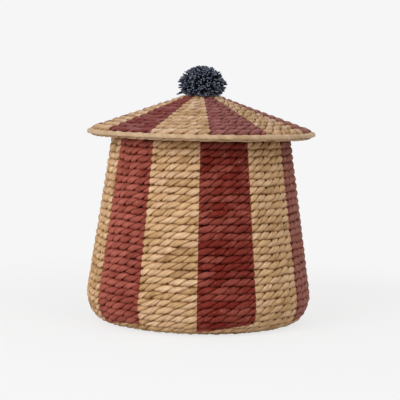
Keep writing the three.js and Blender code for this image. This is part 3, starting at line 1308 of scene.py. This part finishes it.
@dataclass
class Drum:
    """The basket itself: base, corner, wall, their uprights and the border.

    Attributes:
        shop: what it is made with.
        height: height of the mouth.
        mouth: outside radius at the mouth.
        belly: outside radius at the top of the corner.
        foot: radius of the flat base.
        corner: height of the rounded corner.
        corner_courses: courses round the corner.
        wall_courses: courses up the wall.
        base_courses: courses in the base.
        base_lift: height of the base's lower face.
        base_hole: radius at which the base's courses start.
        base_gap: clearance between the base's courses and the corner's.
        border: height of the border.
        border_half: half of its width and half of its height.
        border_drop: how far it sits lower than its place.
        wraps: wraps round the border.
        upright_top: radius at which the uprights end.
        upright_drop: how far under the mouth they end.
    """

    shop: Workshop
    height: float = 0.337
    mouth: float = 0.155
    belly: float = 0.1976
    foot: float = 0.1645
    corner: float = 0.048
    corner_courses: int = 5
    wall_courses: int = 22
    base_courses: int = 13
    base_lift: float = 0.0011
    base_hole: float = 0.0032
    base_gap: float = 0.00015
    border: float = 0.016
    border_half: tuple[float, float] = (0.0074, 0.0076)
    border_drop: float = 0.0002
    wraps: int = 62
    upright_top: float = 0.1495
    upright_drop: float = 0.005

    def wall_point(self, height: float) -> Vector:
        """Radius and height of the point on the outside of the wall at a height."""
        climbed = (height - self.corner) / (self.height - self.corner)
        return Vector((self.belly + (self.mouth - self.belly) * climbed, height))

    def corner_points(self) -> list[Vector]:
        """Points at equal distances round the corner, from the base up.

        Returns:
            Radius and height of each.
        """
        fine = 400
        width = self.belly - self.foot
        arc = []
        for i in range(fine + 1):
            angle = -math.pi / 2 * (1 - i / fine)
            out, up = self.foot + width * math.cos(angle), self.corner * math.sin(angle)
            arc.append(Vector((out, self.corner + up)))
        walked = [0.0]
        for low, high in zip(arc, arc[1:]):
            walked.append(walked[-1] + (high - low).length)
        marks = [walked[-1] * i / self.corner_courses for i in range(self.corner_courses + 1)]
        return [arc[min(range(fine + 1), key=lambda i: abs(walked[i] - mark))] for mark in marks]

    def face(self) -> list[Vector]:
        """The edges between the courses, round the corner and up the wall."""
        ends = self.wall_point(self.corner), self.wall_point(self.height - self.border)
        return self.corner_points() + along_line(ends, self.wall_courses)[1:]

    def build(self) -> None:
        """Makes and places every piece of the basket."""
        stripes = Stripes(start=-0.009, floor=0.0125)
        painted = FibreFinish("painted wall rush", stripes, (1.1, 1.1, 1.07)).made()
        bare = FibreFinish("bare rush", shade=(0.92, 0.92, 0.92)).made()
        courses = self.shop.courses(self.face())
        for number, course in enumerate(courses, 1):
            piece = self.shop.twine(f"twined_wall_course_{number:02d}", [course], painted, number)
            placed(piece, Body.BASKET, Slot.FIBRE, f"wall_course_{number:02d}")
        start = Vector((self.base_hole, self.base_lift))
        end = Vector((self.foot - self.base_gap, self.base_lift))
        base = self.shop.courses(along_line((start, end), self.base_courses))
        piece = self.shop.twine("twined_base", base, bare, 60)
        placed(piece, Body.BASKET, Slot.FIBRE, "base_weave", "base_inner_weave")
        piece = self.uprights(courses, painted)
        placed(piece, Body.BASKET, Slot.FIBRE_INSIDE, "wall_inner_weave")
        placed(self.mouth_border(), Body.BASKET, Slot.WRAPPING, "rim_border")

    def uprights(self, courses: Sequence[Course], finish: bpy.types.Material) -> bpy.types.Object:
        """Makes the fibre uprights of the base and the wall.

        Args:
            courses: the wall's courses, which they run through.
            finish: their material.

        Returns:
            The piece.
        """
        top = Vector((self.upright_top, self.height - self.upright_drop))
        wall = [Vector((course.radius, course.height)) for course in courses] + [top]
        half = self.shop.depth / 2
        zones = self.shop.zone_lines(wall[0].x, lambda radius: Vector((radius, half)))
        outer, line = zones[0]
        zones[0] = (outer, [line[0], *wall])
        return self.shop.stand("wall_and_base_uprights", zones, finish)

    def mouth_border(self) -> bpy.types.Object:
        """Makes the border wrapped over the mouth.

        Returns:
            The piece.
        """
        middle = self.height - self.border / 2
        sizes = {
            "Wraps": self.wraps,
            "Steps": 8,
            "Radius": self.wall_point(middle).x - self.shop.depth / 2,
            "Height": middle - self.border_drop,
            "Width": self.border_half[0],
            "Rise": self.border_half[1],
            "Lean": math.atan2(self.belly - self.mouth, self.height - self.corner),
            "Shear": 0.0,
            "Relief": 0.0005,
            "Waves": 0,
            "Seed": 2.0,
        }
        return self.shop.wrap("wrapped_mouth_border", "mouth wrapping rush", sizes)


@dataclass
class Cone:
    """The lid: cone of courses, crown, their uprights and the band.

    Attributes:
        shop: what it is made with.
        seat: height of the mouth that it rests on.
        seat_radius: radius at which its underside rests.
        radius: outside radius.
        slope: rise of the cone for each unit inwards.
        band_height: height of the band.
        band_width: width of the band.
        band_trim: what the wraps take up of half of its width and half of its height.
        band_shift: how far the band's middle sits out of its place, and under the lid's edge.
        wraps: wraps round the band.
        crown: radius of the crown.
        crown_hole: radius at which the crown's courses start.
        course_count: courses from the band to the crown.
        taper: how much wider than the mean the first course is, as a share.
        boxed: how square the courses' cross-section is.
        gap: clearance between pieces.
        overlap: how far the first course lies over the band.
        upright_end: radius at which the uprights end.
        under_shift: how far the row under the band lies in from the lid's edge, and under it.
        under_size: rise and depth of that row.
        under_lean: the way that it faces, out and down.
        under_boxed: how square its cross-section is.
    """

    shop: Workshop
    seat: float = 0.337
    seat_radius: float = 0.1535
    radius: float = 0.2
    slope: float = math.tan(math.radians(19.53))
    band_height: float = 0.012
    band_width: float = 0.011
    band_trim: tuple[float, float] = (0.0006, 0.0027)
    band_shift: tuple[float, float] = (0.0005, 0.0047)
    wraps: int = 108
    crown: float = 0.02
    crown_hole: float = 0.003
    course_count: int = 13
    taper: float = 0.12
    boxed: float = 2.35
    gap: float = 0.0003
    overlap: float = 0.0042
    upright_end: float = 0.193
    under_shift: tuple[float, float] = (0.0103, 0.0082)
    under_size: tuple[float, float] = (0.009, 0.0075)
    under_lean: float = -1.1
    under_boxed: float = 3.0

    def point(self, radius: float, depth: float = 0.0) -> Vector:
        """A point in the cone.

        Args:
            radius: its distance from the axis.
            depth: how far it lies under the outside face.

        Returns:
            Its radius and height.
        """
        per_depth = math.hypot(1.0, self.slope)
        under = self.seat + self.gap * per_depth + (self.seat_radius - radius) * self.slope
        return Vector((radius, under + (self.shop.depth - depth) * per_depth))

    def build(self) -> None:
        """Makes and places every piece of the lid."""
        # The lid's paint, paler partly for a painted sheen on the lid's slope.
        thinned_and_sheened = {"deep": linear(122, 56, 50), "dusty": linear(152, 96, 88)}
        stripes = Stripes(start=0.078, floor=-1.0, fresh=-1.2, **thinned_and_sheened)
        painted = FibreFinish("painted lid rush", stripes, (1.08, 1.15, 1.28), reach=0.6).made()
        bare = FibreFinish("bare lid rush", shade=(0.88, 0.9, 0.94)).made()
        for number, course in enumerate(self.shop.courses(self.face(), self.boxed), 1):
            name = f"twined_lid_course_{number:02d}"
            piece = self.shop.twine(name, [course], painted, 100 + number)
            placed(piece, Body.LID, Slot.FIBRE, f"lid_course_{number:02d}")
        top = along_line((self.point(self.crown), self.point(self.crown_hole)), 2)
        piece = self.shop.twine("twined_crown", self.shop.courses(top), bare, 140)
        placed(piece, Body.LID, Slot.FIBRE, "lid_crown")
        placed(self.uprights(painted), Body.LID, Slot.FIBRE_INSIDE, "lid_inner_weave")
        placed(self.band(), Body.LID, Slot.WRAPPING, "lid_rim_border")
        piece = self.shop.twine("twined_band_underside", [self.under()], bare, 150)
        placed(piece, Body.LID, Slot.WRAPPING)

    def face(self) -> list[Vector]:
        """The edges between the courses, which get narrower from the band to the crown.

        Returns:
            Radius and height of each.
        """
        shares = [i / self.course_count for i in range(self.course_count + 1)]
        rim = self.radius - self.band_width - self.gap
        radii = [rim + (self.crown - rim) * s * (1 + self.taper * (1 - s)) for s in shares]
        return [self.point(radius) for radius in [rim + self.overlap, *radii[1:]]]

    def under(self) -> Course:
        """Where the row of leaves under the band lies."""
        edge = self.point(self.radius) - Vector(self.under_shift)
        rise, depth = self.under_size
        warps = self.shop.uprights
        return Course(edge.x, edge.y, self.under_lean, rise, warps, depth, self.under_boxed)

    def uprights(self, finish: bpy.types.Material) -> bpy.types.Object:
        """Makes the fibre uprights of the lid.

        Args:
            finish: their material.

        Returns:
            The piece.
        """
        half = self.shop.depth / 2
        zones = self.shop.zone_lines(self.upright_end, lambda radius: self.point(radius, half))
        return self.shop.stand("lid_uprights", zones, finish)

    def band(self) -> bpy.types.Object:
        """Makes the band round the edge.

        Returns:
            The piece.
        """
        sizes = {
            "Wraps": self.wraps,
            "Steps": 5,
            "Radius": self.radius - self.band_width / 2 + self.band_shift[0],
            "Height": self.point(self.radius).y - self.band_shift[1],
            "Width": self.band_width / 2 - self.band_trim[0],
            "Rise": self.band_height / 2 - self.band_trim[1],
            "Lean": 0.0,
            "Shear": 0.16,
            "Relief": 0.0004,
            "Waves": 54,
            "Seed": 5.0,
        }
        return self.shop.wrap("wrapped_lid_band", "band wrapping rush", sizes)


@dataclass
class Pompom:
    """The yarn pompom and the cord that ties it down.

    Attributes:
        shop: what it is made with.
        cone: the lid that it sits on.
        radius: radius of the ball.
        lift: height of its middle over the cone's point.
        core: radius from which the yarn ends stand out.
        gauge: radius of the yarn.
        spacing: least distance between two ends, where they come out.
        loose: share of the ends that hang out of the ball.
        nap: how far over the cone the lowest ends lie.
        cord: radius of the cord.
        lay: length in which a ply goes round the cord once.
        hang: how far under the lid the knot's middle hangs.
        knot_scale: size of the knot.
        knot_squash: how deep it is, as a multiple of that.
        tail_step: how far the loose end goes from point to point.
    """

    shop: Workshop
    cone: Cone
    radius: float = 0.0392
    lift: float = 0.0048
    core: float = 0.023
    gauge: float = 0.0013
    spacing: float = 0.0021
    loose: float = 0.04
    nap: float = 0.0012
    cord: float = 0.0012
    lay: float = 0.006
    hang: float = 0.0056
    knot_scale: float = 0.0016
    knot_squash: float = 1.1
    tail_step: tuple[float, float, float] = (0.0006, 0.0004, -0.0016)

    def build(self) -> None:
        """Makes and places the pompom and its cord."""
        point = self.cone.point(0.0).y
        centre = point + self.lift
        sizes = {
            "Centre": centre,
            "Core": self.core,
            "Reach": self.radius - self.core,
            "Spacing": self.spacing,
            "Gauge": self.gauge,
            "Loose": self.loose,
            "Top": point + self.nap,
            "Slope": self.cone.slope,
            "Seed": 4,
            "Material": YarnFinish("slate yarn", shaded=0.01, lit=0.0175).made(),
        }
        ball = grown(mesh_of("yarn_pompom"), self.shop.tufted, sizes)
        placed(ball, Body.LID, Slot.YARN, "pompom")
        under = self.cone.point(0.0, self.shop.depth).y - self.hang
        line = [Vector((0.0, 0.0, centre))] + self.knot(under)
        yarn = YarnFinish("tie cord yarn").made()
        sizes = {"Gauge": self.cord, "Lay": self.lay, "Material": yarn}
        tie = grown(mesh_of("pompom_tie_cord", line), self.shop.laid, sizes)
        placed(tie, Body.LID, Slot.TIE_CORD, "pompom_tie")

    def knot(self, height: float) -> list[Vector]:
        """The line of an overhand knot with its loose end.

        Args:
            height: height of the knot's middle.

        Returns:
            The line's points.
        """
        scale, steps = self.knot_scale, 60
        points = []
        for i in range(steps + 1):
            t = math.radians(-150 + 300 * i / steps)
            x, y = math.sin(t) + 2 * math.sin(2 * t), math.cos(t) - 2 * math.cos(2 * t)
            depth = math.sin(3 * t) * scale * self.knot_squash
            points.append(Vector((x * scale, depth, height + y * scale)))
        tail = [points[-1] + Vector([way * i for way in self.tail_step]) for i in range(1, 7)]
        return points + tail


@dataclass
class WireFrames:
    """The welded frames, whose CAD solids stay and get their iron finish.

    Attributes:
        names: the CAD nodes.
    """

    names: tuple[str, ...] = ("basket_frame", "lid_frame")

    def dress(self) -> None:
        """Puts the wire's finish on each frame."""
        iron = WireFinish().made()
        for name in self.names:
            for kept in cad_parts[name].material_slots:
                kept.material = iron
            LOG.info("%s: kept, with its finish", name)


@dataclass
class Studio:
    """Camera, lights, floor and background.

    Attributes:
        stand: where the camera stands.
        pitch: how far it looks down, in degrees.
        roll: how far it is turned about its own line of sight, in radians.
        lens: focal length in millimetres, on a sensor 36 mm wide.
        aim: where the lamps point.
        white: colour of the background.
        sky: strength of the light from all round.
        floor_shade: how bright the floor's own colour is.
        floor_seen: how bright that is for the rays that show it and don't light the object.
        floor_gap: how far it lies under the object.
        floor_reach: half of its side.
        fade: radii between which it runs out into the background.
    """

    stand: tuple[float, float, float] = (0.0, -2.455, 0.427)
    pitch: float = 5.04
    roll: float = 0.0196
    lens: float = 125.42
    aim: tuple[float, float, float] = (0.0, 0.0, 0.2)
    white: tuple[float, ...] = (0.921, 0.921, 0.921, 1.0)
    sky: float = 0.6
    floor_shade: float = 0.72
    floor_seen: float = 0.98
    floor_gap: float = 0.0003
    floor_reach: float = 6.0
    fade: tuple[float, float] = (0.45, 0.9)

    def build(self) -> None:
        """Makes the camera, the lights, the floor and the background."""
        self.camera()
        self.lamp("key softbox", (-1.75, -2.1, 1.5), 1.6, 42.0)
        self.lamp("fill softbox", (1.6, -1.3, 2.3), 1.8, 12.0)
        self.background()
        self.floor()
        bpy.context.scene.view_settings.view_transform = "Standard"

    def camera(self) -> None:
        """Makes the camera at the photograph's place."""
        lens = bpy.data.cameras.new("camera")
        lens.lens, lens.sensor_width = self.lens, 36.0
        camera = linked("camera", lens)
        pitch = math.radians(self.pitch)
        ahead = Vector((0.0, math.cos(pitch), -math.sin(pitch)))
        level, above = Vector((1.0, 0.0, 0.0)), Vector((0.0, math.sin(pitch), math.cos(pitch)))
        right = level * math.cos(self.roll) + above * math.sin(self.roll)
        up = above * math.cos(self.roll) - level * math.sin(self.roll)
        turn = Matrix((right, up, -ahead)).transposed()
        camera.matrix_world = Matrix.Translation(self.stand) @ turn.to_4x4()
        bpy.context.scene.camera = camera

    def lamp(self, name: str, place: tuple[float, float, float], side: float, power: float) -> None:
        """Makes one soft light that faces the object.

        Args:
            name: its name.
            place: where it hangs.
            side: length of its side.
            power: its power in watts.
        """
        light = bpy.data.lights.new(name, "AREA")
        light.size, light.energy = side, power
        turn = (Vector(self.aim) - Vector(place)).to_track_quat("-Z", "Y").to_matrix().to_4x4()
        linked(name, light).matrix_world = Matrix.Translation(place) @ turn

    def seen(self, tree: TreeWriter) -> Value:
        """1 for rays that should see the white background, 0 for those that light the object.

        Args:
            tree: the tree to add it to.

        Returns:
            1 or 0.
        """
        path = tree.add("ShaderNodeLightPath")
        kinds = ("Is Camera Ray", "Is Glossy Ray", "Is Transmission Ray")
        camera, glossy, through = (Value(tree, path.outputs[kind]) for kind in kinds)
        return (camera + glossy + through).clamped()

    def background(self) -> None:
        """Makes the light from all round and the white background."""
        world = bpy.data.worlds.new("studio")
        world.use_nodes = True
        bpy.context.scene.world = world
        tree = TreeWriter(world.node_tree)
        world.node_tree.nodes.clear()
        feeds = {
            0: self.seen(tree),
            1: tree.out("ShaderNodeBackground", {"Color": (1.0,) * 4, "Strength": self.sky}),
            2: tree.out("ShaderNodeBackground", {"Color": self.white, "Strength": 1.0}),
        }
        mixed = tree.out("ShaderNodeMixShader", feeds)
        tree.add("ShaderNodeOutputWorld", {"Surface": mixed})

    def floor(self) -> None:
        """Makes the pale floor, which keeps the shadow and runs out into the background."""
        low = min(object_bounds()[0].z, 0.0) - self.floor_gap
        mesh = bpy.data.meshes.new("floor")
        corners = ((-1, -1), (1, -1), (1, 1), (-1, 1))
        points = [(x * self.floor_reach, y * self.floor_reach, low) for x, y in corners]
        mesh.from_pydata(points, [], [(0, 1, 2, 3)])
        floor = linked("floor", mesh)
        tree = FinishTree("pale floor")
        x, y, _ = tree.parts(tree.place())
        far = ((x * x + y * y) ** 0.5).eased(*self.fade)
        seen = self.seen(tree)
        grain = tree.noise(tree.place(), 1.0, scale=30.0) * 0.01 + self.floor_shade
        shade = grain + seen * (self.floor_seen - self.floor_shade)
        feeds = {
            0: seen * (0.8 + far * 0.2),
            1: tree.out("ShaderNodeBsdfDiffuse", {"Color": tree.grey(shade)}),
            2: tree.out("ShaderNodeEmission", {"Color": self.white, "Strength": 1.0}),
        }
        mesh.materials.append(tree.ended(tree.out("ShaderNodeMixShader", feeds)))
        floor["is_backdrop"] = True


def main() -> None:
    """Builds the basket and the lid, then the studio round them."""
    logging.basicConfig(level=logging.INFO, format="%(name)s: %(message)s")
    for name in ("Cube", "Light", "Camera"):
        if name in bpy.data.objects:
            bpy.data.objects.remove(bpy.data.objects[name])
    shop = Workshop()
    Drum(shop).build()
    cone = Cone(shop)
    cone.build()
    Pompom(shop, cone).build()
    WireFrames().dress()
    Studio().build()


if __name__ == "__main__":
    main()
